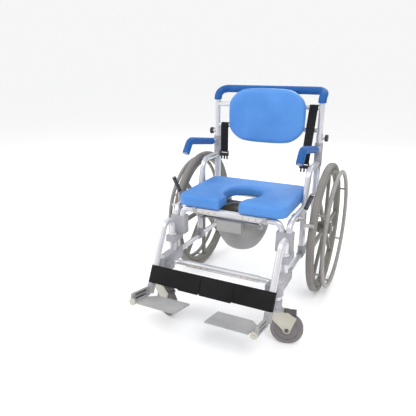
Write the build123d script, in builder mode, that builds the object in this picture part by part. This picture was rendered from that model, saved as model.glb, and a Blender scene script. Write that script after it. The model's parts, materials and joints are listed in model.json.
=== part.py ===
from build123d import *
import os
from math import cos, hypot, radians, sin, sqrt

# Self-propelled shower commode chair, in millimetres.
# Frame: +Z up, floor at z = 0, +Y to the rear, +X to the sitter's left.
# The origin is on the floor at the middle of the bounding box.

# ---------------------------------------------------------------- driving dimensions
WHEEL_R = 300.0          # 24 inch rear wheel with its tyre
WHEEL_X = 314.0          # middle plane of each rear tyre
PLATE_REACH = 745.0      # front edge of the footplates, ahead of the rear axle
FRAME_X = 250.0          # plane of each side frame
AXLE_Y = (PLATE_REACH - WHEEL_R) / 2
SEAT_TOP = 500.0
BAR_TOP = 924.0          # top of the push bar's grip

SIDES = (("left", 1), ("right", -1))

# Clearances
SOFT_GAP = 0.3           # between soft pieces and other bodies
RUN_GAP = 0.05           # radial gap of a running shaft
SLIDE_GAP = 0.1          # radial gap of a telescoping tube
COPE_GAP = 0.1           # where a rail is coped round a tube of its own size

# Main tube sizes
TUBE = 25.4
TUBE_WALL = 2.0
POST_Y = 33.0
POST_DIA = 30.0
INNER_POST_DIA = 25.0
POST_FOOT = 215.0
POST_TOP = 722.0
INNER_POST_FOOT = 430.0

# Side frame
HOOP_Z = 592.0
HOOP_BEND_Y = -120.0
HOOP_LEG_Y = -166.0
HOOP_KNEE_Z = 440.0
HOOP_BEND_R = 45.0
RAIL_Z = 438.0
RAIL_LEG_Y = -388.0
RAIL_BEND_R = 35.0
LOWER_RAIL_Z = 224.0
LOWER_RAIL_DIA = 22.0

# Crossbars
SLEEVE_DIA = 32.0
SLEEVE_HALF = 162.0
BAR_Z = 435.0
REAR_BAR_Y = -70.0
BAR_LEG_X = 220.0
BAR_LEG_FOOT = 330.0
BAR_BEND_R = 30.0
LOW_SLEEVE_DIA = 28.0
LOW_BAR_DIA = 22.0
LOW_BAR_Y = -462.0
LOW_BAR_Z = 215.0
LOW_BAR_LEG_X = 221.0
LOW_BAR_END_Y = -516.0
LOW_BAR_BEND_R = 30.0
BAR_OVERLAP = 60.0       # how far an inner tube reaches into its sleeve
BUTTON_DIA = 6.0
BUTTON_X = (62.0, 89.0, 116.0, 143.0)

# Front casting and leg clamp
CASTING_BOTTOM = 322.0
CASTING_TOP = 402.0
CASTING_HALF_Y = 18.0
CASTING_WALL = 5.0
PIVOT_Y = -427.0
PIVOT_DIA = 32.0
PIVOT_TOP = 321.0
CLAMP_BOTTOM = 200.0
CLAMP_TOP = 250.0
CLAMP_HALF_X = 18.0
PIVOT_SEAT = 22.0        # how deep the pivot post sits in the clamp
HINGE_BLOCK_FRONT = 21.0
HINGE_BLOCK_HEIGHT = 28.0
HINGE_BLOCK_MARGIN = 3.0
CASTING_NECK = 2.0
BAR_LUG_HALF = 15.0

# Castors
CASTOR_X = 255.0
CASTOR_Y = -520.0
CASTOR_R = 62.5
CASTOR_WIDTH = 26.0
CASTOR_TRAIL = 42.0
CASTOR_HUB_R = 45.0
CASTOR_TUBE_DIA = 32.0
CASTOR_TUBE_FOOT = 147.0
SLEEVE_FLANGE_DIA = 46.0
SLEEVE_COLLAR_DIA = 39.0
SLEEVE_COLLAR_HEIGHT = 34.0
CASTOR_EYE_WALL = 6.0
FORK_TOP = 137.0
FORK_CHEEK = 4.0
FORK_GAP = 3.0           # between the castor wheel and each cheek
STEM_DIA = 12.0
STEM_REACH = 60.0
CASTOR_AXLE_DIA = 8.0
CASTOR_ANGLE = {"left": 14.0, "right": -25.0}
PEDAL_PIVOT_U = 34.0
PEDAL_PIVOT_Z = 132.5
PEDAL_THICK = 7.0
PEDAL_LENGTH = 41.0      # swings clear behind the foot arms
PEDAL_PIN_DIA = 5.0

# Rear wheels
TYRE_WIDTH = 30.0
TYRE_HEIGHT = 27.0
RIM_WIDTH = 24.0
RIM_DEPTH = 18.0
HUB_R = 27.0
HUB_HALF = 30.0
AXLE_DIA = 12.0
SPOKES = 8
STANDOFFS = 6
SPOKE_THICK = 13.0
SPOKE_ROOT = 17.0
SPOKE_TIP = 19.0
HAND_RIM_X = 361.0
HAND_RIM_R = 262.0       # to the middle of its tube
HAND_RIM_DIA = 18.0
STANDOFF_DIA = 9.0
RECEIVER_THICK = 8.0
RECEIVER_HALF_Z = 40.0
RECEIVER_FRONT = -24.0
RECEIVER_BACK = 14.0     # behind the post's centre line
RECEIVER_BOSS_DIA = 26.0
AXLE_CAP_DIA = 24.0
TYRE_SHOULDER_R = 11.0

# Seat
SEAT_HALF = 236.0
SEAT_FRONT = -408.0
SEAT_BACK = -36.0
SEAT_THICK = 48.7
SEAT_BOTTOM = SEAT_TOP - SEAT_THICK
SEAT_EDGE_R = 12.0
SEAT_CORNER_R = 42.0
HOLE_HALF = 80.0
HOLE_Y = -245.0
HOLE_HALF_LENGTH = 90.0
MOUTH_HALF = 42.0
CLIP_X = 155.0
CLIP_WIDTH = 14.0
CLIP_WALL = 4.0

# Commode pan
PAN_Y = -245.0
PAN_RIM_Z = 403.0
PAN_RIM_THICK = 5.0
RIM_TOP = PAN_RIM_Z + PAN_RIM_THICK
PAN_CORNER_R = 30.0
PAN_HALF = 134.0
PAN_TOP_R = 116.0
PAN_MID_R = 104.0
PAN_MID_Z = 315.0
PAN_BASE_R = 56.0
PAN_BASE_Z = 250.0
PAN_WALL = 3.0
GRIP_HALF = 54.0
GRIP_FRONT = -398.0
GRIP_BOTTOM = 362.0
GRIP_TOP = 408.0
HANGER_RAIL_X = 133.0
HANGER_RAIL_WIDTH = 18.0

# Backrest and push bar
BACK_HALF = 180.0
BACK_BOTTOM = 672.0
BACK_TOP = 916.0
BACK_FRONT = -20.0
BACK_THICK = 40.0
BACK_CORNER_R = 62.0
BACK_FRONT_EDGE_R = 14.0
BACK_REAR_EDGE_R = 6.0
UPPER_BAR_Z = 837.0
BACK_BAR_Z = 738.0
BACK_BAR_DIA = 22.0
GRIP_DIA = 36.0
BAR_Y = 90.0
BAR_KNEE_Z = 880.0
PUSH_BEND_R = 34.0
PUSH_GRIP_Z = 857.0
PAD_BRACKET_X = 120.0
PAD_BRACKET_HALF = 15.0

# Arm rests
ARM_PIVOT_Y = -8.0
ARM_PIVOT_Z = 661.0
ARM_KNEE_Y = -258.0
ARM_KNEE_Z = 700.0
ARM_END_Y = -298.0
ARM_END_Z = 650.0
ARM_BEND_R = 34.0
ARM_TUBE_DIA = 22.0
ARM_GRIP_DIA = 32.0
ARM_GRIP_START = 24.0    # from the pivot to the near end of the grip
ARM_EYE_WIDTH = 20.0
ARM_EYE_DIA = 26.0
ARM_PIN_DIA = 8.0
ARM_EAR = 5.0
ARM_SLEEVE_DIA = 36.0
ARM_SLEEVE_BOTTOM = 582.0
ARM_SLEEVE_TOP = 684.0
KNOB_Z = 707.0
KNOB_PIN_DIA = 8.0
KNOB_DIA = 30.0
KNOB_LENGTH = 12.0
BOSS_DIA = 16.0
BOSS_LENGTH = 9.0

# Leg rests and footplates
HANGER_DIA = 25.0
HANGER_FOOT_Z = 256.0
HANGER_TOP_Z = 392.0
HANGER_KNEE_Y = -485.0
HANGER_END_Y = -616.0
HANGER_END_Z = 137.0
HANGER_BEND_R = 31.0
COLLAR_DIA = 34.0
COLLAR_HEIGHT = 9.0
SOCKET_DIA = 32.0
SOCKET_LENGTH = 34.0
SOCKET_FLOOR = 4.0
STRAP_TOP_Z = 234.0
STRAP_WIDTH = 72.0
STRAP_THICK = 2.5
STRAP_SEAM_X = -30.0
STRAP_SEAM_GAP = 1.0
PLATE_TILT = 12.0
PLATE_FRONT_Z = 158.0
PLATE_DEPTH = 120.0
PLATE_THICK = 5.0
PLATE_INNER_X = 60.0
PLATE_PIVOT_X = 240.0
PLATE_KNUCKLE_DIA = 14.0
PLATE_ROD_DIA = 8.0
FOOT_ARM_X = 252.0
FOOT_ARM_THICK = 8.0
FOOT_ARM_LOW = 7.0
FOOT_ARM_HIGH = 31.0
FOOT_ARM_START = 3.0
FOOT_ARM_LENGTH = 128.0
FOOT_SLOT_LENGTH = 78.0
FOOT_SLOT_WIDTH = 9.0
KNUCKLE_START = 24.0     # along the plate's edge, from its front
KNUCKLE_END = 84.0
LUG_LENGTH = 11.0
CAP_SWING_GAP = 1.5      # flipped footplate to the foot arm's end cap
CAP_DIA = 27.0
CAP_SHIFT = 5.5
CAP_LENGTH = 8.0

# Brakes
BRAKE_PIVOT_X = 286.0
BRAKE_PIVOT_Y = -293.0
BRAKE_PIVOT_Z = 430.0
BRAKE_PIN_DIA = 8.0
BRAKE_PLATE = 4.0
BRAKE_KNEE_Z = 470.0
BRAKE_TIP = (310.0, -304.0, 541.0)
BRAKE_ROD_DIA = 9.0
BRAKE_GRIP_DIA = 17.0
BRAKE_SADDLE_RISE = 6.0  # top of the bracket above the rail's centre line
BRAKE_SADDLE_WALL = 4.0
BRAKE_SADDLE_HALF = 17.0
BRAKE_BOSS_DIA = 20.0
SHOE_Y = -297.0
SHOE_Z = 407.0
SHOE_DIA = 16.0

# Belts
BELT_WIDTH = 38.0
BELT_THICK = 2.0
BELT_RIGHT_X = -208.0
BELT_RIGHT_BOTTOM = 612.0
BELT_LEFT_X = 217.0
BELT_LEFT_FOOT = (206.0, -30.0, 600.0)
BELT_LOOP_DIA = BACK_BAR_DIA + 2 * BELT_THICK
BUCKLE_HALF = 22.0
BUCKLE_HEIGHT = 42.0
BUCKLE_THICK = 12.0

# Frame screws
SCREW_DIA = 9.0
SCREW_HEIGHT = 2.0
SCREW_INSET = 18.0       # from the casting's top and bottom

PARTS = []


def place(x, y, z):
    """A point whose y is given from the rear axle."""
    return (x, AXLE_Y + y, z)


def keep(piece, name):
    """Label a finished piece and list it for export."""
    piece.part.label = name
    PARTS.append(piece.part)


def rod(route, diameter, bore=0.0, bend=0.0, mode=Mode.ADD):
    """A round bar or tube along a route of points, added to the piece in hand."""
    points = [place(*point) for point in route]
    with BuildLine(mode=Mode.PRIVATE) as path:
        if bend:
            FilletPolyline(*points, radius=bend)
        else:
            Polyline(*points)
    wire = path.line
    with BuildSketch(Plane(origin=wire @ 0, z_dir=wire % 0), mode=Mode.PRIVATE) as section:
        Circle(diameter / 2)
        if bore:
            Circle(bore / 2, mode=Mode.SUBTRACT)
    sweep(sections=section.sketch, path=wire, mode=mode)


def block(x_range, y_range, z_range, mode=Mode.ADD):
    """A box between two x, two y and two z values, with y from the rear axle."""
    low, high = zip(*(sorted(pair) for pair in (x_range, y_range, z_range)))
    middle = [(a + b) / 2 for a, b in zip(low, high)]
    with Locations(place(*middle)):
        Box(*(b - a for a, b in zip(low, high)), mode=mode)


def pin(x_range, y, z, diameter, mode=Mode.ADD):
    """A round pin along X."""
    start, end = sorted(x_range)
    with BuildSketch(Plane(origin=place(start, y, z), z_dir=(1, 0, 0)), mode=Mode.PRIVATE) as disc:
        Circle(diameter / 2)
    extrude(disc.sketch, amount=end - start, mode=mode)


def pillar(x, y, z_range, diameter, mode=Mode.ADD):
    """A round bar along Z."""
    bottom, top = sorted(z_range)
    with BuildSketch(Plane(origin=place(x, y, bottom)), mode=Mode.PRIVATE) as disc:
        Circle(diameter / 2)
    extrude(disc.sketch, amount=top - bottom, mode=mode)


# ---------------------------------------------------------------- routes used by more than one piece
def post_line(side):
    x = side * FRAME_X
    return [(x, POST_Y, POST_FOOT), (x, POST_Y, POST_TOP)]


def hoop_line(side):
    x = side * FRAME_X
    return [(x, POST_Y, HOOP_Z), (x, HOOP_BEND_Y, HOOP_Z), (x, HOOP_LEG_Y, HOOP_KNEE_Z),
            (x, HOOP_LEG_Y, LOWER_RAIL_Z)]


def rail_line(side):
    x = side * FRAME_X
    return [(x, POST_Y, RAIL_Z), (x, RAIL_LEG_Y, RAIL_Z), (x, RAIL_LEG_Y, CLAMP_TOP - TUBE)]


def lower_rail_line(side):
    x = side * FRAME_X
    return [(x, POST_Y, LOWER_RAIL_Z), (x, RAIL_LEG_Y + CASTING_HALF_Y, LOWER_RAIL_Z)]


def front_bar_line(side):
    start = side * (SLEEVE_HALF - BAR_OVERLAP)
    end = side * BAR_LEG_X
    return [(start, RAIL_LEG_Y, BAR_Z), (end, RAIL_LEG_Y, BAR_Z), (end, RAIL_LEG_Y, BAR_LEG_FOOT)]


def low_bar_line(side):
    start = side * (SLEEVE_HALF - BAR_OVERLAP)
    end = side * LOW_BAR_LEG_X
    return [(start, LOW_BAR_Y, LOW_BAR_Z), (end, LOW_BAR_Y, LOW_BAR_Z), (end, LOW_BAR_END_Y, LOW_BAR_Z)]


def rear_bar_line(side):
    return [(side * (SLEEVE_HALF - BAR_OVERLAP), REAR_BAR_Y, BAR_Z), (side * FRAME_X, REAR_BAR_Y, BAR_Z)]


# ---------------------------------------------------------------- fixed frame
with BuildPart() as rear_posts:
    for _, side in SIDES:
        rod(post_line(side), POST_DIA, bore=INNER_POST_DIA + 2 * SLIDE_GAP)
        pin((side * (FRAME_X + POST_DIA / 2 - 1.5), side * (FRAME_X + POST_DIA / 2 + BOSS_LENGTH)),
            POST_Y, KNOB_Z, BOSS_DIA)
        pin((side * (FRAME_X + INNER_POST_DIA / 2), side * (FRAME_X + POST_DIA)),
            POST_Y, KNOB_Z, KNOB_PIN_DIA + 2 * RUN_GAP, mode=Mode.SUBTRACT)
keep(rear_posts, "rear_posts")

with BuildPart() as side_hoops:
    for _, side in SIDES:
        rod(hoop_line(side), TUBE, bore=TUBE - 2 * TUBE_WALL, bend=HOOP_BEND_R)
        rod(post_line(side), ARM_SLEEVE_DIA, mode=Mode.SUBTRACT)
        rod(lower_rail_line(side), LOWER_RAIL_DIA, mode=Mode.SUBTRACT)
keep(side_hoops, "side_hoops")

with BuildPart() as seat_rails:
    for _, side in SIDES:
        rod(rail_line(side), TUBE, bore=TUBE - 2 * TUBE_WALL, bend=RAIL_BEND_R)
        rod(post_line(side), POST_DIA, mode=Mode.SUBTRACT)
        rod(hoop_line(side), TUBE + 2 * COPE_GAP, bend=HOOP_BEND_R, mode=Mode.SUBTRACT)
keep(seat_rails, "seat_rails")

with BuildPart() as lower_rails:
    for _, side in SIDES:
        rod(lower_rail_line(side), LOWER_RAIL_DIA, bore=LOWER_RAIL_DIA - 2 * TUBE_WALL)
        rod(post_line(side), POST_DIA, mode=Mode.SUBTRACT)
keep(lower_rails, "lower_rails")

with BuildPart() as crossbar_sleeves:
    for y in (RAIL_LEG_Y, REAR_BAR_Y):
        rod([(-SLEEVE_HALF, y, BAR_Z), (SLEEVE_HALF, y, BAR_Z)], SLEEVE_DIA, bore=TUBE)
    rod([(-SLEEVE_HALF, LOW_BAR_Y, LOW_BAR_Z), (SLEEVE_HALF, LOW_BAR_Y, LOW_BAR_Z)],
        LOW_SLEEVE_DIA, bore=LOW_BAR_DIA)
keep(crossbar_sleeves, "crossbar_sleeves")

with BuildPart() as crossbar_ends:
    for _, side in SIDES:
        rod(front_bar_line(side), TUBE, bore=TUBE - 2 * TUBE_WALL, bend=BAR_BEND_R)
        rod(low_bar_line(side), LOW_BAR_DIA, bore=LOW_BAR_DIA - 2 * TUBE_WALL, bend=LOW_BAR_BEND_R)
        rod(rear_bar_line(side), TUBE, bore=TUBE - 2 * TUBE_WALL)
        rod([(side * FRAME_X, POST_Y, RAIL_Z), (side * FRAME_X, HOOP_LEG_Y, RAIL_Z)], TUBE,
            mode=Mode.SUBTRACT)
keep(crossbar_ends, "crossbar_ends")

# Spring buttons of the width adjustment, on the front of each sleeve.
with BuildPart() as crossbar_buttons:
    rows = ((RAIL_LEG_Y, BAR_Z, SLEEVE_DIA), (LOW_BAR_Y, LOW_BAR_Z, LOW_SLEEVE_DIA))
    for y, z, diameter in rows:
        for x in BUTTON_X + tuple(-x for x in BUTTON_X):
            with BuildSketch(Plane(origin=place(x, y - diameter / 2, z), z_dir=(0, -1, 0)),
                             mode=Mode.PRIVATE) as button:
                Circle(BUTTON_DIA / 2)
            extrude(button.sketch, amount=1.2, mode=Mode.ADD)
            extrude(button.sketch, amount=-0.6, mode=Mode.ADD)
        rod([(-SLEEVE_HALF, y, z), (SLEEVE_HALF, y, z)], diameter, mode=Mode.SUBTRACT)
keep(crossbar_buttons, "crossbar_buttons")

with BuildPart() as front_castings:
    for _, side in SIDES:
        inner = side * (BAR_LEG_X - TUBE / 2 - CASTING_WALL)
        outer = side * (FRAME_X + TUBE / 2 + CASTING_WALL)
        block((inner, outer), (RAIL_LEG_Y - CASTING_HALF_Y, RAIL_LEG_Y + CASTING_HALF_Y),
              (CASTING_BOTTOM, CASTING_TOP))
        hinge_half = CLAMP_HALF_X + HINGE_BLOCK_MARGIN
        hinge_top = CASTING_BOTTOM - CASTING_NECK
        block((side * (FRAME_X - hinge_half), side * (FRAME_X + hinge_half)),
              (PIVOT_Y - HINGE_BLOCK_FRONT, RAIL_LEG_Y + CASTING_HALF_Y),
              (hinge_top - HINGE_BLOCK_HEIGHT, hinge_top))
        block((side * (FRAME_X - CLAMP_HALF_X), side * (FRAME_X + CLAMP_HALF_X)),
              (RAIL_LEG_Y - CASTING_HALF_Y, RAIL_LEG_Y + CASTING_HALF_Y),
              (hinge_top, CASTING_BOTTOM))
        rod(front_bar_line(side), TUBE, bend=BAR_BEND_R, mode=Mode.SUBTRACT)
        rod(rail_line(side), TUBE, bend=RAIL_BEND_R, mode=Mode.SUBTRACT)
        pillar(side * FRAME_X, PIVOT_Y, (CLAMP_BOTTOM, PIVOT_TOP), PIVOT_DIA, mode=Mode.SUBTRACT)
keep(front_castings, "front_castings")

with BuildPart() as pivot_posts:
    for _, side in SIDES:
        rod([(side * FRAME_X, PIVOT_Y, CLAMP_TOP - PIVOT_SEAT), (side * FRAME_X, PIVOT_Y, PIVOT_TOP)],
            PIVOT_DIA, bore=HANGER_DIA + 2 * RUN_GAP)
keep(pivot_posts, "pivot_posts")

with BuildPart() as castor_tubes:
    for _, side in SIDES:
        x = side * CASTOR_X
        pillar(x, CASTOR_Y, (CASTOR_TUBE_FOOT, CLAMP_TOP + 2), CASTOR_TUBE_DIA)
        pillar(x, CASTOR_Y, (CASTOR_TUBE_FOOT, FORK_TOP + STEM_REACH + 2), STEM_DIA + 2 * RUN_GAP,
               mode=Mode.SUBTRACT)
keep(castor_tubes, "castor_tubes")

with BuildPart() as castor_collars:
    for _, side in SIDES:
        x = side * CASTOR_X
        pillar(x, CASTOR_Y, (FORK_TOP + SOFT_GAP, CASTOR_TUBE_FOOT), SLEEVE_FLANGE_DIA)
        sleeve = (CASTOR_TUBE_FOOT, CASTOR_TUBE_FOOT + SLEEVE_COLLAR_HEIGHT)
        pillar(x, CASTOR_Y, sleeve, SLEEVE_COLLAR_DIA)
        pillar(x, CASTOR_Y, sleeve, CASTOR_TUBE_DIA, mode=Mode.SUBTRACT)
        pillar(x, CASTOR_Y, (FORK_TOP, CASTOR_TUBE_FOOT), STEM_DIA + 2 * RUN_GAP, mode=Mode.SUBTRACT)
keep(castor_collars, "castor_collars")

with BuildPart() as leg_clamps:
    for _, side in SIDES:
        frame_x = side * FRAME_X
        castor_x = side * CASTOR_X
        block((frame_x - CLAMP_HALF_X, frame_x + CLAMP_HALF_X),
              (RAIL_LEG_Y + CASTING_HALF_Y, CASTOR_Y), (CLAMP_BOTTOM, CLAMP_TOP))
        pillar(castor_x, CASTOR_Y, (CLAMP_BOTTOM, CLAMP_TOP), CASTOR_TUBE_DIA + 2 * CASTOR_EYE_WALL)
        block((side * (LOW_BAR_LEG_X - BAR_LUG_HALF), frame_x), (LOW_BAR_END_Y - 8, LOW_BAR_END_Y + 26),
              (LOW_BAR_Z - BAR_LUG_HALF, LOW_BAR_Z + BAR_LUG_HALF))
        rod(rail_line(side), TUBE, bend=RAIL_BEND_R, mode=Mode.SUBTRACT)
        pillar(frame_x, PIVOT_Y, (CLAMP_TOP - PIVOT_SEAT, CLAMP_TOP), PIVOT_DIA, mode=Mode.SUBTRACT)
        pillar(castor_x, CASTOR_Y, (CLAMP_BOTTOM, CLAMP_TOP), CASTOR_TUBE_DIA, mode=Mode.SUBTRACT)
        rod(low_bar_line(side), LOW_BAR_DIA, bend=LOW_BAR_BEND_R, mode=Mode.SUBTRACT)
keep(leg_clamps, "leg_clamps")

with BuildPart() as arm_sleeves:
    for _, side in SIDES:
        x = side * FRAME_X
        ear_inner = ARM_EYE_WIDTH / 2 + SOFT_GAP
        ear_outer = ear_inner + ARM_EAR
        pillar(x, POST_Y, (ARM_SLEEVE_BOTTOM, ARM_SLEEVE_TOP), ARM_SLEEVE_DIA)
        for face in (-1, 1):
            span = (x + face * ear_inner, x + face * ear_outer)
            block(span, (ARM_PIVOT_Y, POST_Y),
                  (ARM_PIVOT_Z - ARM_EYE_DIA / 2, ARM_PIVOT_Z + ARM_EYE_DIA / 2))
            pin(span, ARM_PIVOT_Y, ARM_PIVOT_Z, ARM_EYE_DIA)
        pin((x - ear_outer - 2, x + ear_outer + 2), ARM_PIVOT_Y, ARM_PIVOT_Z, ARM_PIN_DIA)
        pillar(x, POST_Y, (ARM_SLEEVE_BOTTOM, ARM_SLEEVE_TOP), POST_DIA, mode=Mode.SUBTRACT)
keep(arm_sleeves, "arm_sleeves")

# ---------------------------------------------------------------- rear wheels
with BuildPart() as axle_receivers:
    for _, side in SIDES:
        inner = side * (FRAME_X + POST_DIA / 2)
        outer = inner + side * RECEIVER_THICK
        block((inner, outer), (RECEIVER_FRONT, POST_Y + RECEIVER_BACK),
              (WHEEL_R - RECEIVER_HALF_Z, WHEEL_R + RECEIVER_HALF_Z))
        pin((side * (FRAME_X - 8), side * (WHEEL_X - HUB_HALF - 3)), 0, WHEEL_R, RECEIVER_BOSS_DIA)
        rod(post_line(side), POST_DIA, mode=Mode.SUBTRACT)
        pin((side * (FRAME_X - 8), side * WHEEL_X), 0, WHEEL_R, AXLE_DIA, mode=Mode.SUBTRACT)
keep(axle_receivers, "axle_receivers")

with BuildPart() as wheel_axles:
    for _, side in SIDES:
        pin((side * (FRAME_X - 12), side * (WHEEL_X + HUB_HALF + 1)), 0, WHEEL_R, AXLE_DIA)
        pin((side * (WHEEL_X + HUB_HALF + 1), side * (WHEEL_X + HUB_HALF + 6)), 0, WHEEL_R, AXLE_CAP_DIA)
keep(wheel_axles, "wheel_axles")


def tyre(side):
    with BuildPart() as piece:
        middle = place(side * WHEEL_X, 0, WHEEL_R)
        level = Plane(origin=middle, x_dir=(0, 1, 0), z_dir=(0, 0, 1))
        with BuildSketch(level, mode=Mode.PRIVATE) as section:
            with Locations((WHEEL_R - TYRE_HEIGHT / 2, 0)):
                RectangleRounded(TYRE_HEIGHT, TYRE_WIDTH, TYRE_SHOULDER_R)
        revolve(section.sketch, axis=Axis(middle, (1, 0, 0)))
    return piece


def wheel(side):
    seat_r = WHEEL_R - TYRE_HEIGHT
    flat = Plane(origin=place(side * WHEEL_X, 0, WHEEL_R), x_dir=(0, 1, 0), z_dir=(side, 0, 0))
    with BuildPart() as piece:
        with BuildSketch(flat.offset(-RIM_WIDTH / 2)):
            Circle(seat_r)
            Circle(seat_r - RIM_DEPTH, mode=Mode.SUBTRACT)
        extrude(amount=RIM_WIDTH)
        with BuildSketch(flat.offset(-HUB_HALF)):
            Circle(HUB_R)
        extrude(amount=2 * HUB_HALF)
        reach = seat_r - RIM_DEPTH / 2
        with BuildSketch(flat.offset(-SPOKE_THICK / 2)):
            with PolarLocations(0, SPOKES, start_angle=90):
                Polygon((HUB_R - 6, -SPOKE_ROOT / 2), (reach, -SPOKE_TIP / 2), (reach, SPOKE_TIP / 2),
                        (HUB_R - 6, SPOKE_ROOT / 2), align=None)
        extrude(amount=SPOKE_THICK)
        with BuildSketch(flat.offset(-HUB_HALF)):
            Circle(AXLE_DIA / 2 + RUN_GAP)
        extrude(amount=2 * HUB_HALF, mode=Mode.SUBTRACT)
    return piece


def hand_rim(side):
    middle = place(side * HAND_RIM_X, 0, WHEEL_R)
    flat = Plane(origin=place(side * WHEEL_X, 0, WHEEL_R), x_dir=(0, 1, 0), z_dir=(side, 0, 0))
    stand_r = WHEEL_R - TYRE_HEIGHT - RIM_DEPTH / 2
    with BuildPart() as piece:
        with BuildSketch(flat.offset(RIM_WIDTH / 2)):
            with PolarLocations(stand_r, STANDOFFS, start_angle=90):
                Circle(STANDOFF_DIA / 2)
        extrude(amount=HAND_RIM_X - WHEEL_X - RIM_WIDTH / 2)
        level = Plane(origin=middle, x_dir=(0, 1, 0), z_dir=(0, 0, 1))
        with BuildSketch(level, mode=Mode.PRIVATE) as section:
            with Locations((HAND_RIM_R, 0)):
                Circle(HAND_RIM_DIA / 2)
        revolve(section.sketch, axis=Axis(middle, (1, 0, 0)))
    return piece


for label, side in SIDES:
    keep(tyre(side), f"tyre_{label}")
    keep(wheel(side), f"wheel_{label}")
    keep(hand_rim(side), f"hand_rim_{label}")


# ---------------------------------------------------------------- castors
def castor_plane(side, label):
    """Upright plane through the castor: x along the trail, y up, z across the wheel."""
    angle = radians(CASTOR_ANGLE[label])
    trail = Vector(cos(angle), sin(angle), 0)
    return Plane(origin=place(side * CASTOR_X, CASTOR_Y, 0), x_dir=trail,
                 z_dir=trail.cross(Vector(0, 0, 1)))


def castor_fork(side, label):
    flat = castor_plane(side, label)
    inner = CASTOR_WIDTH / 2 + FORK_GAP
    with BuildPart() as piece:
        with BuildSketch(Plane(origin=flat.origin, x_dir=flat.x_dir).offset(FORK_TOP - 8)):
            with Locations((2, 0)):
                Rectangle(48, 2 * (inner + FORK_CHEEK))
        extrude(amount=8)
        for face in (-1, 1):
            start = inner if face > 0 else -inner - FORK_CHEEK
            with BuildSketch(flat.offset(start)):
                with BuildLine():
                    Polyline((-22, FORK_TOP), (44, FORK_TOP), (76, FORK_TOP - 20),
                             (CASTOR_TRAIL + 14, CASTOR_R), (CASTOR_TRAIL - 14, CASTOR_R),
                             (-22, FORK_TOP - 26), close=True)
                make_face()
                with Locations((CASTOR_TRAIL, CASTOR_R)):
                    Circle(14)
            extrude(amount=FORK_CHEEK)
        with BuildSketch(Plane(origin=flat.origin, x_dir=flat.x_dir).offset(FORK_TOP)):
            Circle(STEM_DIA / 2)
        extrude(amount=STEM_REACH)
        with BuildSketch(flat.offset(-inner - FORK_CHEEK - 3)):
            with Locations((CASTOR_TRAIL, CASTOR_R)):
                Circle(CASTOR_AXLE_DIA / 2)
            with Locations((PEDAL_PIVOT_U, PEDAL_PIVOT_Z)):
                Circle(PEDAL_PIN_DIA / 2)
        extrude(amount=2 * (inner + FORK_CHEEK + 3))
    return piece


def castor_wheel(side, label):
    flat = castor_plane(side, label)
    with BuildPart() as piece:
        with BuildSketch(flat.offset(-CASTOR_WIDTH / 2 - 1)):
            with Locations((CASTOR_TRAIL, CASTOR_R)):
                Circle(18)
        extrude(amount=CASTOR_WIDTH + 2)
        with BuildSketch(flat.offset(-CASTOR_WIDTH / 2 + 3)):
            with Locations((CASTOR_TRAIL, CASTOR_R)):
                Circle(CASTOR_HUB_R)
        extrude(amount=CASTOR_WIDTH - 6)
        with BuildSketch(flat.offset(-CASTOR_WIDTH)):
            with Locations((CASTOR_TRAIL, CASTOR_R)):
                Circle(CASTOR_AXLE_DIA / 2 + RUN_GAP)
        extrude(amount=2 * CASTOR_WIDTH, mode=Mode.SUBTRACT)
    return piece


def castor_tyre(side, label):
    flat = castor_plane(side, label)
    with BuildPart() as piece:
        with BuildSketch(flat.offset(-CASTOR_WIDTH / 2)):
            with Locations((CASTOR_TRAIL, CASTOR_R)):
                Circle(CASTOR_R)
        extrude(amount=CASTOR_WIDTH)
        fillet(piece.edges().filter_by(GeomType.CIRCLE), 5)
        with BuildSketch(flat.offset(-CASTOR_WIDTH / 2)):
            with Locations((CASTOR_TRAIL, CASTOR_R)):
                Circle(CASTOR_HUB_R)
        extrude(amount=CASTOR_WIDTH, mode=Mode.SUBTRACT)
    return piece


def castor_pedal(side, label):
    flat = castor_plane(side, label)
    width = CASTOR_WIDTH + 2 * FORK_GAP - 2
    bottom = PEDAL_PIVOT_Z - PEDAL_THICK / 2
    with BuildPart() as piece:
        with BuildSketch(flat.offset(-width / 2)):
            with BuildLine():
                Polyline((PEDAL_PIVOT_U, bottom), (PEDAL_PIVOT_U + 34, bottom),
                         (PEDAL_PIVOT_U + PEDAL_LENGTH, bottom - 5),
                         (PEDAL_PIVOT_U + PEDAL_LENGTH, bottom + PEDAL_THICK + 1),
                         (PEDAL_PIVOT_U, bottom + PEDAL_THICK), close=True)
            make_face()
            with Locations((PEDAL_PIVOT_U, PEDAL_PIVOT_Z)):
                Circle(PEDAL_THICK / 2)
        extrude(amount=width)
        with BuildSketch(flat.offset(-width / 2)):
            with Locations((PEDAL_PIVOT_U, PEDAL_PIVOT_Z)):
                Circle(PEDAL_PIN_DIA / 2 + RUN_GAP)
        extrude(amount=width, mode=Mode.SUBTRACT)
    return piece


for label, side in SIDES:
    keep(castor_fork(side, label), f"castor_fork_{label}")
    keep(castor_wheel(side, label), f"castor_wheel_{label}")
    keep(castor_tyre(side, label), f"castor_tyre_{label}")
    keep(castor_pedal(side, label), f"castor_pedal_{label}")


# ---------------------------------------------------------------- leg rests
def hanger_line(side):
    x = side * FRAME_X
    return [(x, PIVOT_Y, HANGER_FOOT_Z), (x, PIVOT_Y, HANGER_TOP_Z), (x, HANGER_KNEE_Y, HANGER_TOP_Z),
            (x, HANGER_END_Y, HANGER_END_Z)]


HANGER_SLOPE = (HANGER_KNEE_Y - HANGER_END_Y) / (HANGER_TOP_Z - HANGER_END_Z)
HANGER_COS = 1 / sqrt(1 + HANGER_SLOPE ** 2)
HANGER_SIN = HANGER_SLOPE * HANGER_COS


def on_hanger(side, z):
    """The point of the sloping leg's centre line at a height."""
    return (side * FRAME_X, HANGER_END_Y + (z - HANGER_END_Z) * HANGER_SLOPE, z)


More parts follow.
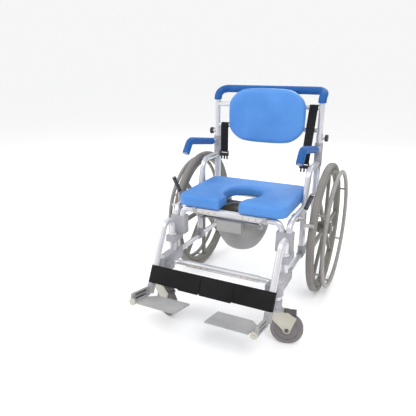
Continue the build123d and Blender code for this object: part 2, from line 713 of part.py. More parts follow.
def hanger(side):
    with BuildPart() as piece:
        rod(hanger_line(side), HANGER_DIA, bore=HANGER_DIA - 2 * TUBE_WALL, bend=HANGER_BEND_R)
        x = side * FRAME_X
        pillar(x, PIVOT_Y, (PIVOT_TOP + SOFT_GAP, PIVOT_TOP + SOFT_GAP + COLLAR_HEIGHT), COLLAR_DIA)
        pillar(x, PIVOT_Y, (HANGER_FOOT_Z, HANGER_TOP_Z - HANGER_BEND_R), HANGER_DIA - 2 * TUBE_WALL,
               mode=Mode.SUBTRACT)
    return piece


def plate_plane(side):
    """Plane of the footplate: x to the sitter's left, y down to the rear, z out of the top face."""
    tilt = radians(PLATE_TILT)
    return Plane(origin=place(side * PLATE_PIVOT_X, -PLATE_REACH, PLATE_FRONT_Z), x_dir=(1, 0, 0),
                 z_dir=(0, sin(tilt), cos(tilt)))


def foot_arm(side):
    flat = plate_plane(side)
    cheek_x = side * FOOT_ARM_X
    cheek = Plane(origin=(cheek_x - FOOT_ARM_THICK / 2, flat.origin.Y, flat.origin.Z), x_dir=flat.y_dir,
                  z_dir=(1, 0, 0))
    across = Plane(origin=flat.origin, x_dir=(1, 0, 0), z_dir=flat.y_dir)
    middle_x = FOOT_ARM_START + FOOT_ARM_LENGTH / 2
    with BuildPart() as piece:
        # the cheek's sketch has x to the rear and y out of the plate's top face
        with BuildSketch(cheek):
            with Locations((middle_x, (FOOT_ARM_HIGH - FOOT_ARM_LOW) / 2)):
                RectangleRounded(FOOT_ARM_LENGTH, FOOT_ARM_HIGH + FOOT_ARM_LOW, 6)
            with Locations((middle_x - 6, FOOT_ARM_HIGH - 9), (middle_x - 6, FOOT_ARM_LOW - 1)):
                SlotOverall(FOOT_SLOT_LENGTH, FOOT_SLOT_WIDTH, mode=Mode.SUBTRACT)
        extrude(amount=FOOT_ARM_THICK)
        rod([on_hanger(side, HANGER_END_Z - SOCKET_FLOOR),
             on_hanger(side, HANGER_END_Z + SOCKET_LENGTH * HANGER_COS)], SOCKET_DIA)
        rod([on_hanger(side, HANGER_END_Z), on_hanger(side, HANGER_END_Z + 2 * SOCKET_LENGTH)],
            HANGER_DIA, mode=Mode.SUBTRACT)
        for begin in (KNUCKLE_START - 1 - LUG_LENGTH, KNUCKLE_END + 1):
            with BuildSketch(across.offset(begin)):
                with Locations((side * 5, 0)):
                    Rectangle(18, PLATE_KNUCKLE_DIA - 1)
            extrude(amount=LUG_LENGTH)
        with BuildSketch(across.offset(FOOT_ARM_START)):
            Circle(PLATE_ROD_DIA / 2)
        extrude(amount=KNUCKLE_END - FOOT_ARM_START + LUG_LENGTH)
        with BuildSketch(across.offset(FOOT_ARM_START)):
            with Locations((side * CAP_SHIFT, 0)):
                Circle(CAP_DIA / 2)
        extrude(amount=CAP_LENGTH)
    return piece


def footplate(side):
    flat = plate_plane(side)
    # the flipped plate stands over the cap, so its corner is cut back by the cap's reach
    cap_notch = sqrt((CAP_DIA / 2) ** 2 - (CAP_SHIFT - PLATE_THICK / 2) ** 2) + CAP_SWING_GAP
    inner = side * (PLATE_INNER_X - PLATE_PIVOT_X)
    rod_plane = Plane(origin=flat.origin, x_dir=(1, 0, 0), z_dir=flat.y_dir)
    with BuildPart() as piece:
        with BuildSketch(flat.offset(-PLATE_THICK / 2)):
            with BuildLine():
                Polyline((inner, 0), (side * -cap_notch, 0), (side * -cap_notch, KNUCKLE_START),
                         (0, KNUCKLE_START),
                         (0, KNUCKLE_END), (side * -9, KNUCKLE_END), (side * -40, PLATE_DEPTH),
                         (inner, PLATE_DEPTH), close=True)
            make_face()
        extrude(amount=PLATE_THICK)
        with BuildSketch(rod_plane.offset(KNUCKLE_START)):
            Circle(PLATE_KNUCKLE_DIA / 2)
        extrude(amount=KNUCKLE_END - KNUCKLE_START)
        with BuildSketch(rod_plane.offset(KNUCKLE_START)):
            Circle(PLATE_ROD_DIA / 2 + RUN_GAP)
        extrude(amount=KNUCKLE_END - KNUCKLE_START, mode=Mode.SUBTRACT)
    return piece


def calf_strap(side, seam):
    """One half of the calf strap: a loop round the hanger tube and a flat band to the seam."""
    top = on_hanger(side, STRAP_TOP_Z)
    band = Plane(origin=place(*top), x_dir=(1, 0, 0), z_dir=(0, -HANGER_COS, HANGER_SIN))
    loop_r = HANGER_DIA / 2 + STRAP_THICK
    with BuildPart() as piece:
        # band's y runs up along the tube
        with BuildSketch(band.offset(HANGER_DIA / 2)):
            with Locations(((seam - side * FRAME_X) / 2, -STRAP_WIDTH / 2)):
                Rectangle(abs(seam - side * FRAME_X), STRAP_WIDTH)
        extrude(amount=STRAP_THICK)
        along = Plane(origin=place(*top), x_dir=(1, 0, 0), z_dir=band.y_dir)
        with BuildSketch(along):
            Circle(loop_r)
        extrude(amount=-STRAP_WIDTH)
        with BuildSketch(along):
            Circle(HANGER_DIA / 2)
        extrude(amount=-STRAP_WIDTH, mode=Mode.SUBTRACT)
    return piece


for label, side in SIDES:
    keep(hanger(side), f"hanger_{label}")
    keep(foot_arm(side), f"foot_arm_{label}")
    keep(footplate(side), f"footplate_{label}")
    keep(calf_strap(side, STRAP_SEAM_X + side * STRAP_SEAM_GAP / 2), f"calf_strap_{label}")


# ---------------------------------------------------------------- backrest and push bar
def push_route(start_z):
    left = [(FRAME_X, POST_Y, start_z), (FRAME_X, POST_Y, BAR_KNEE_Z),
            (FRAME_X, BAR_Y, BAR_TOP - GRIP_DIA / 2)]
    return left + [(-x, y, z) for x, y, z in reversed(left)]


with BuildPart() as push_bar:
    rod(push_route(INNER_POST_FOOT), INNER_POST_DIA, bore=INNER_POST_DIA - 2 * TUBE_WALL, bend=PUSH_BEND_R)
keep(push_bar, "push_bar")

with BuildPart() as push_grip:
    rod(push_route(PUSH_GRIP_Z), GRIP_DIA, bore=INNER_POST_DIA, bend=PUSH_BEND_R)
keep(push_grip, "push_grip")

with BuildPart() as back_crossbars:
    for z in (UPPER_BAR_Z, BACK_BAR_Z):
        rod([(-FRAME_X, POST_Y, z), (FRAME_X, POST_Y, z)], BACK_BAR_DIA, bore=BACK_BAR_DIA - 2 * TUBE_WALL)
    for _, side in SIDES:
        pillar(side * FRAME_X, POST_Y, (BACK_BAR_Z - GRIP_DIA, UPPER_BAR_Z + GRIP_DIA), INNER_POST_DIA,
               mode=Mode.SUBTRACT)
keep(back_crossbars, "back_crossbars")

with BuildPart() as back_pad_brackets:
    for z in (UPPER_BAR_Z, BACK_BAR_Z):
        for _, side in SIDES:
            x = side * PAD_BRACKET_X
            span = (x - PAD_BRACKET_HALF, x + PAD_BRACKET_HALF)
            block(span, (BACK_FRONT + BACK_THICK, POST_Y), (z - PAD_BRACKET_HALF, z + PAD_BRACKET_HALF))
            pin(span, POST_Y, z, 2 * (POST_Y - BACK_FRONT - BACK_THICK))
        rod([(-FRAME_X, POST_Y, z), (FRAME_X, POST_Y, z)], BACK_BAR_DIA, mode=Mode.SUBTRACT)
keep(back_pad_brackets, "back_pad_brackets")

with BuildPart() as back_pad:
    with BuildSketch(Plane(origin=place(0, BACK_FRONT, (BACK_TOP + BACK_BOTTOM) / 2), x_dir=(1, 0, 0),
                           z_dir=(0, 1, 0))):
        RectangleRounded(2 * BACK_HALF, BACK_TOP - BACK_BOTTOM, BACK_CORNER_R)
    extrude(amount=BACK_THICK)
    fillet(back_pad.faces().sort_by(Axis.Y)[0].edges(), BACK_FRONT_EDGE_R)
    fillet(back_pad.faces().sort_by(Axis.Y)[-1].edges(), BACK_REAR_EDGE_R)
keep(back_pad, "back_pad")


# Lap belt halves: a loop on the back frame, a webbing tail and half of the buckle.
def belt_piece(points, x_width):
    """A flat strip between two points, as wide as x_width along X."""
    (x0, y0, z0), (x1, y1, z1) = points
    with BuildSketch(Plane(origin=place(x0, y0, z0), x_dir=(1, 0, 0), z_dir=(0, 0, -1)),
                     mode=Mode.PRIVATE) as top:
        Rectangle(x_width, BELT_THICK)
    with BuildSketch(Plane(origin=place(x1, y1, z1), x_dir=(1, 0, 0), z_dir=(0, 0, -1)),
                     mode=Mode.PRIVATE) as bottom:
        Rectangle(x_width, BELT_THICK)
    loft(sections=[top.sketch, bottom.sketch])


def belt(x, bar_z, foot):
    hang_y = POST_Y - BELT_LOOP_DIA / 2 + BELT_THICK / 2
    with BuildPart() as piece:
        pin((x - BELT_WIDTH / 2, x + BELT_WIDTH / 2), POST_Y, bar_z, BELT_LOOP_DIA)
        belt_piece(((x, hang_y, bar_z), foot), BELT_WIDTH)
        pin((x - BELT_WIDTH / 2, x + BELT_WIDTH / 2), POST_Y, bar_z, BACK_BAR_DIA, mode=Mode.SUBTRACT)
    return piece


def buckle(foot):
    x, y, z = foot
    with BuildPart() as piece:
        block((x - BUCKLE_HALF, x + BUCKLE_HALF), (y - BUCKLE_THICK / 2, y + BUCKLE_THICK / 2),
              (z - BUCKLE_HEIGHT, z))
    return piece


belt_right_foot = (BELT_RIGHT_X, POST_Y - BELT_LOOP_DIA / 2 + BELT_THICK / 2, BELT_RIGHT_BOTTOM)
keep(belt(BELT_RIGHT_X, BACK_BAR_Z, belt_right_foot), "belt_right")
keep(buckle(belt_right_foot), "buckle_right")
keep(belt(BELT_LEFT_X, UPPER_BAR_Z, BELT_LEFT_FOOT), "belt_left")
keep(buckle(BELT_LEFT_FOOT), "buckle_left")


# ---------------------------------------------------------------- arm rests and height knobs
def arm_line(side, start=0.0):
    x = side * FRAME_X
    run = hypot(ARM_KNEE_Y - ARM_PIVOT_Y, ARM_KNEE_Z - ARM_PIVOT_Z)
    share = start / run
    begin_y = ARM_PIVOT_Y + share * (ARM_KNEE_Y - ARM_PIVOT_Y)
    begin_z = ARM_PIVOT_Z + share * (ARM_KNEE_Z - ARM_PIVOT_Z)
    return [(x, begin_y, begin_z), (x, ARM_KNEE_Y, ARM_KNEE_Z), (x, ARM_END_Y, ARM_END_Z)]


def arm_tube(side):
    x = side * FRAME_X
    half = ARM_EYE_WIDTH / 2
    with BuildPart() as piece:
        rod(arm_line(side, ARM_EYE_DIA / 2 - 3), ARM_TUBE_DIA, bore=ARM_TUBE_DIA - 2 * TUBE_WALL,
            bend=ARM_BEND_R)
        pin((x - half, x + half), ARM_PIVOT_Y, ARM_PIVOT_Z, ARM_EYE_DIA)
        for face in (-1, 1):
            block((x + face * half, x + face * (half + 20)),
                  (ARM_PIVOT_Y - ARM_GRIP_START + 6, ARM_PIVOT_Y + ARM_EYE_DIA),
                  (ARM_PIVOT_Z - ARM_EYE_DIA, ARM_PIVOT_Z + ARM_EYE_DIA), mode=Mode.SUBTRACT)
        pin((x - half, x + half), ARM_PIVOT_Y, ARM_PIVOT_Z, ARM_PIN_DIA + 2 * RUN_GAP, mode=Mode.SUBTRACT)
    return piece


def arm_grip(side):
    with BuildPart() as piece:
        rod(arm_line(side, ARM_GRIP_START), ARM_GRIP_DIA, bore=ARM_TUBE_DIA, bend=ARM_BEND_R)
    return piece


def knob(side):
    head = side * (FRAME_X + POST_DIA / 2 + BOSS_LENGTH + 1)
    with BuildPart() as piece:
        pin((side * (FRAME_X + INNER_POST_DIA / 2 + SOFT_GAP), head), POST_Y, KNOB_Z, KNOB_PIN_DIA)
        pin((head, head + side * KNOB_LENGTH), POST_Y, KNOB_Z, KNOB_DIA)
    return piece


for label, side in SIDES:
    keep(arm_tube(side), f"arm_tube_{label}")
    keep(arm_grip(side), f"arm_grip_{label}")
    keep(knob(side), f"height_knob_{label}")

# ---------------------------------------------------------------- brakes
with BuildPart() as brake_brackets:
    for _, side in SIDES:
        outer = side * (FRAME_X + TUBE / 2 + BRAKE_SADDLE_WALL)
        block((side * (FRAME_X - TUBE / 2 - 3), outer),
              (BRAKE_PIVOT_Y - BRAKE_SADDLE_HALF, BRAKE_PIVOT_Y + BRAKE_SADDLE_HALF),
              (RAIL_Z - TUBE / 2 - BRAKE_SADDLE_WALL, RAIL_Z + BRAKE_SADDLE_RISE))
        pin((outer, side * (BRAKE_PIVOT_X - BRAKE_PLATE - 1)), BRAKE_PIVOT_Y, BRAKE_PIVOT_Z, BRAKE_BOSS_DIA)
        pin((outer, side * (BRAKE_PIVOT_X + BRAKE_PLATE)), BRAKE_PIVOT_Y, BRAKE_PIVOT_Z, BRAKE_PIN_DIA)
        rod(rail_line(side), TUBE, bend=RAIL_BEND_R, mode=Mode.SUBTRACT)
keep(brake_brackets, "brake_brackets")


def brake_lever(side):
    x = side * BRAKE_PIVOT_X
    tip = (side * BRAKE_TIP[0], BRAKE_TIP[1], BRAKE_TIP[2])
    half = BRAKE_PLATE / 2
    with BuildPart() as piece:
        block((x - half, x + half), (BRAKE_PIVOT_Y - 11, BRAKE_PIVOT_Y + 9), (SHOE_Z, BRAKE_KNEE_Z))
        pin((x - half, x + half), BRAKE_PIVOT_Y - 1, SHOE_Z, BRAKE_BOSS_DIA)
        pin((x - side * half, side * (WHEEL_X + 9)), SHOE_Y, SHOE_Z, SHOE_DIA)
        rod([(x, BRAKE_PIVOT_Y - 1, BRAKE_KNEE_Z - 8), tip], BRAKE_ROD_DIA)
        knee = Vector(*place(x, BRAKE_PIVOT_Y - 1, BRAKE_KNEE_Z + 4))
        end = Vector(*place(*tip))
        with BuildSketch(Plane(origin=knee, z_dir=end - knee)):
            Circle(BRAKE_GRIP_DIA / 2)
        extrude(amount=(end - knee).length)
        pin((x - half - 1, x + half + 1), BRAKE_PIVOT_Y, BRAKE_PIVOT_Z, BRAKE_PIN_DIA + 2 * RUN_GAP,
            mode=Mode.SUBTRACT)
    return piece


for label, side in SIDES:
    keep(brake_lever(side), f"brake_lever_{label}")

# ---------------------------------------------------------------- seat
with BuildPart() as seat_pad:
    with BuildSketch(Plane.XY.offset(SEAT_BOTTOM)):
        with Locations((0, AXLE_Y + (SEAT_FRONT + SEAT_BACK) / 2)):
            RectangleRounded(2 * SEAT_HALF, SEAT_BACK - SEAT_FRONT, SEAT_CORNER_R)
        with Locations((0, AXLE_Y + HOLE_Y)):
            Ellipse(HOLE_HALF, HOLE_HALF_LENGTH, mode=Mode.SUBTRACT)
        with Locations((0, AXLE_Y + (SEAT_FRONT + HOLE_Y) / 2)):
            Rectangle(2 * MOUTH_HALF, HOLE_Y - SEAT_FRONT, mode=Mode.SUBTRACT)
    extrude(amount=SEAT_THICK)
    fillet(seat_pad.faces().sort_by(Axis.Z)[-1].edges(), SEAT_EDGE_R)
keep(seat_pad, "seat_pad")

with BuildPart() as seat_clips:
    for y in (RAIL_LEG_Y, REAR_BAR_Y):
        for _, side in SIDES:
            x = side * CLIP_X
            half = SLEEVE_DIA / 2 + CLIP_WALL
            block((x - CLIP_WIDTH / 2, x + CLIP_WIDTH / 2), (y - half, y + half), (BAR_Z - 2, SEAT_BOTTOM))
            radius = SLEEVE_DIA / 2 + SOFT_GAP
            pin((x - CLIP_WIDTH, x + CLIP_WIDTH), y, BAR_Z, 2 * radius, mode=Mode.SUBTRACT)
            block((x - CLIP_WIDTH, x + CLIP_WIDTH), (y - radius, y + radius), (BAR_Z - 10, BAR_Z),
                  mode=Mode.SUBTRACT)
keep(seat_clips, "seat_clips")

# ---------------------------------------------------------------- commode pan and its rails
with BuildPart() as pan_hangers:
    for _, side in SIDES:
        inner = side * (HANGER_RAIL_X - HANGER_RAIL_WIDTH / 2)
        outer = side * (HANGER_RAIL_X + HANGER_RAIL_WIDTH / 2)
        block((inner, outer), (RAIL_LEG_Y, REAR_BAR_Y), (PAN_RIM_Z - 8, RIM_TOP + 8))
        for y in (RAIL_LEG_Y, REAR_BAR_Y):
            block((side * (PAN_HALF + 2), outer), (y - 20, y + 20), (RIM_TOP + 7, BAR_Z - BUTTON_DIA))
        block((inner, side * (PAN_HALF + 1)), (RAIL_LEG_Y - 1, REAR_BAR_Y + 1),
              (PAN_RIM_Z - SOFT_GAP, RIM_TOP + SOFT_GAP), mode=Mode.SUBTRACT)
    for y in (RAIL_LEG_Y, REAR_BAR_Y):
        rod([(-SLEEVE_HALF, y, BAR_Z), (SLEEVE_HALF, y, BAR_Z)], SLEEVE_DIA, mode=Mode.SUBTRACT)
keep(pan_hangers, "pan_hangers")

with BuildPart() as commode_pan:
    axis_origin = place(0, PAN_Y, 0)
    with BuildSketch(Plane(origin=axis_origin, x_dir=(1, 0, 0), z_dir=(0, -1, 0))):
        with BuildLine():
            outside = ThreePointArc((PAN_BASE_R + 14, PAN_BASE_Z + 10), (PAN_MID_R, PAN_MID_Z),
                                    (PAN_TOP_R, RIM_TOP))
            Line(outside @ 1, (PAN_TOP_R - PAN_WALL, RIM_TOP))
            inside = ThreePointArc((PAN_TOP_R - PAN_WALL, RIM_TOP), (PAN_MID_R - PAN_WALL, PAN_MID_Z),
                                   (PAN_BASE_R + 10, PAN_BASE_Z + 11))
            Line(inside @ 1, (PAN_BASE_R, PAN_BASE_Z + PAN_WALL))
            Line((PAN_BASE_R, PAN_BASE_Z + PAN_WALL), (0, PAN_BASE_Z + PAN_WALL))
            Line((0, PAN_BASE_Z + PAN_WALL), (0, PAN_BASE_Z))
            Line((0, PAN_BASE_Z), (PAN_BASE_R, PAN_BASE_Z))
            Line((PAN_BASE_R, PAN_BASE_Z), outside @ 0)
        make_face()
    revolve(axis=Axis(axis_origin, (0, 0, 1)))
    with BuildSketch(Plane(origin=place(0, PAN_Y, PAN_RIM_Z))):
        RectangleRounded(2 * PAN_HALF, 2 * PAN_HALF, PAN_CORNER_R)
        Circle(PAN_TOP_R - 1, mode=Mode.SUBTRACT)
    extrude(amount=PAN_RIM_THICK)
    block((-GRIP_HALF, GRIP_HALF), (GRIP_FRONT, PAN_Y - PAN_HALF + 8), (GRIP_BOTTOM, GRIP_TOP))
    block((-GRIP_HALF + PAN_WALL, GRIP_HALF - PAN_WALL), (GRIP_FRONT + PAN_WALL, PAN_Y - PAN_HALF + 5),
          (GRIP_BOTTOM, GRIP_TOP - PAN_WALL), mode=Mode.SUBTRACT)
keep(commode_pan, "commode_pan")

# ---------------------------------------------------------------- visible screws of the frame
with BuildPart() as frame_screws:
    for _, side in SIDES:
        face_x = side * (FRAME_X + TUBE / 2 + CASTING_WALL)
        for z in (CASTING_BOTTOM + SCREW_INSET, CASTING_TOP - SCREW_INSET):
            pin((face_x, face_x + side * SCREW_HEIGHT), RAIL_LEG_Y, z, SCREW_DIA)
        clamp_x = side * (FRAME_X + CLAMP_HALF_X)
        for y in (RAIL_LEG_Y - 2, PIVOT_Y - 26):
            pin((clamp_x, clamp_x + side * SCREW_HEIGHT), y, CLAMP_TOP - 14, SCREW_DIA)
        plate_x = side * (FRAME_X + POST_DIA / 2 + RECEIVER_THICK)
        for z in (WHEEL_R - 28, WHEEL_R + 28):
            pin((plate_x, plate_x + side * SCREW_HEIGHT), POST_Y, z, SCREW_DIA)
keep(frame_screws, "frame_screws")

os.makedirs("parts", exist_ok=True)
for piece in PARTS:
    export_step(piece, f"parts/{piece.label}.step")
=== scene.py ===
import json
from math import cos, pi, radians, sin

import bmesh
import bpy
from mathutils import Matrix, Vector


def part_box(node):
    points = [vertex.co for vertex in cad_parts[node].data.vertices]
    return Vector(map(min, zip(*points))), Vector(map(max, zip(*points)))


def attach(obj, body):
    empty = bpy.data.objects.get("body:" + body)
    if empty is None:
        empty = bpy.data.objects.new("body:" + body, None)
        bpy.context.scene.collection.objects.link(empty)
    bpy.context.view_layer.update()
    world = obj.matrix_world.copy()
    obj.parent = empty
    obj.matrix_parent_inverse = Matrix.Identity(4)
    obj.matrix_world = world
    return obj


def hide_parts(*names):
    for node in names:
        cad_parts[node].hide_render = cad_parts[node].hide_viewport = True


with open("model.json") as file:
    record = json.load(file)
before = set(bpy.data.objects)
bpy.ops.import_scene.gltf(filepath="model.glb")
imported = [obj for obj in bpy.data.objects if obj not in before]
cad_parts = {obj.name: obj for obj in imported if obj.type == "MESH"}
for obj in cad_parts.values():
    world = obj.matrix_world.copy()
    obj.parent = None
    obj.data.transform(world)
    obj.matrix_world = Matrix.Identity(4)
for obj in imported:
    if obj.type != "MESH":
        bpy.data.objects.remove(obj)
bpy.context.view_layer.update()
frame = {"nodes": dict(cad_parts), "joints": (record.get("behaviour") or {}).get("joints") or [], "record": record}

NODES = frame["nodes"]
JOINTS = {joint["name"]: joint for joint in frame["joints"]}
SIDES = (("left", 1), ("right", -1))

# lines of the frame that pieces are placed from, in metres and radians
FRAME_X = 0.25
AXLE_Y = JOINTS["wheel_spin_left"]["pos_m"][1]
SEAT_HOLE_AHEAD = 0.245        # middle of the seat's hole and the pan, ahead of the rear axle
HANGER_TILT = radians(27.2)
PLATE_TILT = radians(12)
PLATE_DOWN = Vector((0, cos(PLATE_TILT), -sin(PLATE_TILT)))    # along the footplate, to the rear
PLATE_UP = Vector((0, sin(PLATE_TILT), cos(PLATE_TILT)))

# ---------------------------------------------------------------- camera, light and floor
CAMERA_PLACE = (0.648, -1.6895, 1.015)
CAMERA_TURN = (radians(90 - 18.4), 0.0, radians(26.1))
CAMERA_LENS = 37.2

# name, place, target, width of the disk, watts
LIGHTS = (("key", (1.6, -2.2, 3.0), (0, 0, 0.4), 1.6, 50),
          ("fill", (-2.4, -1.2, 2.0), (0, 0, 0.4), 2.6, 34),
          ("rim", (0.2, 2.6, 2.6), (0, 0, 0.5), 2.2, 36))

BACKDROP = (0.925, 0.925, 0.93, 1.0)
ROOM_STRENGTH = 0.95
ROOM_LOW = (0.02, (0.36, 0.37, 0.39, 1.0))
ROOM_HIGH = (0.62, (1.0, 1.0, 1.0, 1.0))
FLOOR_RADIUS = 30.0
FLOOR_DROP = 0.0005
FLOOR_GLOW = 0.13              # brings the far floor up to the backdrop


def camera():
    data = bpy.data.cameras.new("camera")
    data.lens = CAMERA_LENS
    data.sensor_width = 36.0
    eye = bpy.data.objects.new("camera", data)
    eye.location = CAMERA_PLACE
    eye.rotation_euler = CAMERA_TURN
    bpy.context.scene.collection.objects.link(eye)
    bpy.context.scene.camera = eye


def soft_light(name, place, target, size, power):
    data = bpy.data.lights.new(name, "AREA")
    data.shape = "DISK"
    data.size = size
    data.energy = power
    lamp = bpy.data.objects.new(name, data)
    lamp.location = place
    lamp.rotation_euler = (Vector(target) - Vector(place)).to_track_quat("-Z", "Y").to_euler()
    bpy.context.scene.collection.objects.link(lamp)


def world_light():
    """A white studio, dimmer towards the horizon so that bright metal has something to mirror."""
    world = bpy.data.worlds.new("studio")
    world.use_nodes = True
    tree = world.node_tree
    room = tree.nodes["Background"]
    room.inputs["Strength"].default_value = ROOM_STRENGTH
    seen = tree.nodes.new("ShaderNodeBackground")
    seen.inputs["Color"].default_value = BACKDROP
    where = tree.nodes.new("ShaderNodeTexCoord")
    split = tree.nodes.new("ShaderNodeSeparateXYZ")
    fade = tree.nodes.new("ShaderNodeValToRGB")
    for stop, (position, colour) in zip(fade.color_ramp.elements, (ROOM_LOW, ROOM_HIGH)):
        stop.position = position
        stop.color = colour
    ray = tree.nodes.new("ShaderNodeLightPath")
    blend = tree.nodes.new("ShaderNodeMixShader")
    join = tree.links.new
    join(where.outputs["Generated"], split.inputs["Vector"])
    join(split.outputs["Z"], fade.inputs["Fac"])
    join(fade.outputs["Color"], room.inputs["Color"])
    join(ray.outputs["Is Camera Ray"], blend.inputs["Fac"])
    join(room.outputs["Background"], blend.inputs[1])
    join(seen.outputs["Background"], blend.inputs[2])
    join(blend.outputs["Shader"], tree.nodes["World Output"].inputs["Surface"])
    bpy.context.scene.world = world
    bpy.context.scene.view_settings.view_transform = "Standard"


# ---------------------------------------------------------------- materials
def material(name, colour, dark, rough, grain=220.0, bump=0.08, metallic=0.0, sheen=0.0, coat=0.0,
             shine=0.5):
    """A surface whose colour drifts between two tones, with fine grain in its bump and roughness."""
    made = bpy.data.materials.new(name)
    made.use_nodes = True
    tree = made.node_tree
    shader = tree.nodes["Principled BSDF"]
    shader.inputs["Metallic"].default_value = metallic
    shader.inputs["Sheen Weight"].default_value = sheen
    shader.inputs["Coat Weight"].default_value = coat
    shader.inputs["Specular IOR Level"].default_value = shine
    where = tree.nodes.new("ShaderNodeTexCoord")
    drift = tree.nodes.new("ShaderNodeTexNoise")
    drift.inputs["Scale"].default_value = 9.0
    drift.inputs["Detail"].default_value = 5.0
    fine = tree.nodes.new("ShaderNodeTexNoise")
    fine.inputs["Scale"].default_value = grain
    fine.inputs["Detail"].default_value = 3.0
    tones = tree.nodes.new("ShaderNodeValToRGB")
    tones.color_ramp.elements[0].position = 0.3
    tones.color_ramp.elements[0].color = (*dark, 1.0)
    tones.color_ramp.elements[1].position = 0.62
    tones.color_ramp.elements[1].color = (*colour, 1.0)
    gloss = tree.nodes.new("ShaderNodeMapRange")
    gloss.inputs["To Min"].default_value = max(0.05, rough - 0.07)
    gloss.inputs["To Max"].default_value = min(1.0, rough + 0.07)
    relief = tree.nodes.new("ShaderNodeBump")
    relief.inputs["Strength"].default_value = bump
    relief.inputs["Distance"].default_value = 0.001
    join = tree.links.new
    join(where.outputs["Object"], drift.inputs["Vector"])
    join(where.outputs["Object"], fine.inputs["Vector"])
    join(drift.outputs["Fac"], tones.inputs["Fac"])
    join(tones.outputs["Color"], shader.inputs["Base Color"])
    join(fine.outputs["Fac"], gloss.inputs["Value"])
    join(gloss.outputs["Result"], shader.inputs["Roughness"])
    join(fine.outputs["Fac"], relief.inputs["Height"])
    join(relief.outputs["Normal"], shader.inputs["Normal"])
    return made


def woven(name, colour, dark, pitch):
    """Webbing: crossed ribs in the bump, over the same drifting tones."""
    made = material(name, colour, dark, 0.85, grain=500.0, bump=0.2, sheen=0.04, shine=0.22)
    tree = made.node_tree
    relief = tree.nodes["Bump"]
    where = tree.nodes["Texture Coordinate"]
    total = tree.nodes.new("ShaderNodeMath")
    total.operation = "ADD"
    for index, direction in enumerate(("X", "Z")):
        ribs = tree.nodes.new("ShaderNodeTexWave")
        ribs.bands_direction = direction
        ribs.inputs["Scale"].default_value = pitch
        tree.links.new(where.outputs["Object"], ribs.inputs["Vector"])
        tree.links.new(ribs.outputs["Fac"], total.inputs[index])
    tree.links.new(total.outputs["Value"], relief.inputs["Height"])
    relief.inputs["Strength"].default_value = 0.35
    return made


PAINT = material("satin_paint", (0.70, 0.70, 0.72), (0.60, 0.60, 0.63), 0.30, bump=0.0, metallic=0.5,
                 coat=0.2)
FITTING = material("grey_fitting", (0.40, 0.40, 0.43), (0.31, 0.31, 0.34), 0.45, bump=0.10)
STEEL = material("brushed_steel", (0.62, 0.61, 0.60), (0.48, 0.47, 0.46), 0.32, grain=380.0, metallic=1.0)
BRASS = material("brass_button", (0.66, 0.48, 0.22), (0.50, 0.34, 0.14), 0.30, metallic=1.0)
PAD = material("blue_moulded_foam", (0.085, 0.270, 0.66), (0.060, 0.220, 0.58), 0.46, grain=420.0,
               bump=0.10, shine=0.4)
GRIP = material("blue_grip_foam", (0.016, 0.112, 0.36), (0.010, 0.082, 0.29), 0.55, grain=480.0, bump=0.20,
                shine=0.25)
WEB = woven("black_webbing", (0.016, 0.016, 0.018), (0.008, 0.008, 0.010), 190.0)
BAND = woven("black_band", (0.012, 0.011, 0.012), (0.006, 0.006, 0.007), 120.0)
BLACK = material("black_moulding", (0.018, 0.018, 0.020), (0.010, 0.010, 0.011), 0.34, bump=0.06)
PEDAL = material("dark_moulding", (0.10, 0.10, 0.105), (0.07, 0.07, 0.075), 0.52, bump=0.15)
PAN = material("grey_pan", (0.36, 0.36, 0.36), (0.29, 0.29, 0.29), 0.42, bump=0.03)
# painted shade: the dark colour of the thin sheet inside the pan stands in for the shade in its hollow
PAN_PAINTED_SHADE = material("pan_inside_painted_shade", (0.085, 0.065, 0.038), (0.045, 0.035, 0.022), 0.38, bump=0.05)
TYRE = material("grey_tyre", (0.25, 0.238, 0.222), (0.19, 0.18, 0.168), 0.72, grain=300.0, bump=0.15,
                shine=0.3)
WHEEL = material("wheel_moulding", (0.185, 0.18, 0.155), (0.135, 0.132, 0.112), 0.50, bump=0.06, shine=0.4)
RIM = material("hand_rim_coat", (0.31, 0.295, 0.28), (0.24, 0.23, 0.22), 0.42, bump=0.05)
FORK = material("cream_moulding", (0.53, 0.51, 0.43), (0.44, 0.425, 0.36), 0.46, bump=0.06, shine=0.4)
ROLLER = material("castor_rubber", (0.20, 0.185, 0.19), (0.145, 0.135, 0.14), 0.62, bump=0.12, shine=0.35)
PLATE = material("ribbed_plate", (0.36, 0.36, 0.36), (0.28, 0.28, 0.29), 0.50, grain=520.0, bump=0.12)
FLOOR = material("studio_floor", (0.93, 0.93, 0.935), (0.92, 0.92, 0.925), 0.65, grain=60.0, bump=0.01)

LOOKS = {"frame_tube": PAINT, "grey_fitting": FITTING, "steel": STEEL, "blue_pad": PAD, "blue_grip": GRIP,
         "webbing": WEB, "black_plastic": BLACK, "dark_plastic": PEDAL, "pan_plastic": PAN, "tyre": TYRE,
         "wheel_plastic": WHEEL, "hand_rim": RIM, "castor_plastic": FORK, "castor_rubber": ROLLER,
         "plate_metal": PLATE}
OWN_LOOK = {"crossbar_buttons": BRASS}


def dress(thing, look):
    thing.data.materials.clear()
    thing.data.materials.append(look)


def dress_frame():
    """Every carried-over CAD node gets the look of its material slot."""
    for part in frame["record"]["subparts"]:
        name = part["node"]
        dress(NODES[name], OWN_LOOK.get(name, LOOKS[part["material_slot"]]))


# ---------------------------------------------------------------- mesh tools
def piece(name, vertices, faces, look, body, smooth=True):
    mesh = bpy.data.meshes.new(name)
    mesh.from_pydata([tuple(v) for v in vertices], [], faces)
    thing = bpy.data.objects.new(name, mesh)
    bpy.context.scene.collection.objects.link(thing)
    shape = bmesh.new()
    shape.from_mesh(mesh)
    bmesh.ops.recalc_face_normals(shape, faces=shape.faces)
    shape.to_mesh(mesh)
    shape.free()
    for face in mesh.polygons:
        face.use_smooth = smooth
    dress(thing, look)
    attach(thing, body)
    return thing


